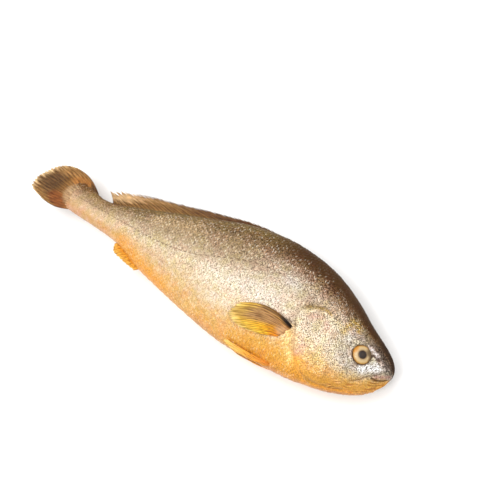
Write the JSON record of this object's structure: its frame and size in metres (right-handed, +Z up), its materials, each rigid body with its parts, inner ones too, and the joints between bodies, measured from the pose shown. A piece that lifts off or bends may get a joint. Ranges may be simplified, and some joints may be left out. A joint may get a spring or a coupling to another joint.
{
  "type": "yellow croaker",
  "caption": "Whole raw yellow croaker lying on its side, silver-gold flank, orange belly, folded fins, closed mouth.",
  "frame": {"origin": "centre of the fish's bounding box, on the surface it lies on", "axes": "+X from tail to head, +Y towards the back fin, +Z up out of the right flank"},
  "size_m": [0.2895, 0.0803, 0.0427],
  "materials": {
    "skin": "wet, silver-gold with an orange belly and a grey-brown back",
    "fin": "thin rayed membrane, golden to brown",
    "eye": "clear wet dome over a cream iris"
  },
  "bodies": {
    "root": {"yellow_croaker": "skin"}
  },
  "joints": []
}
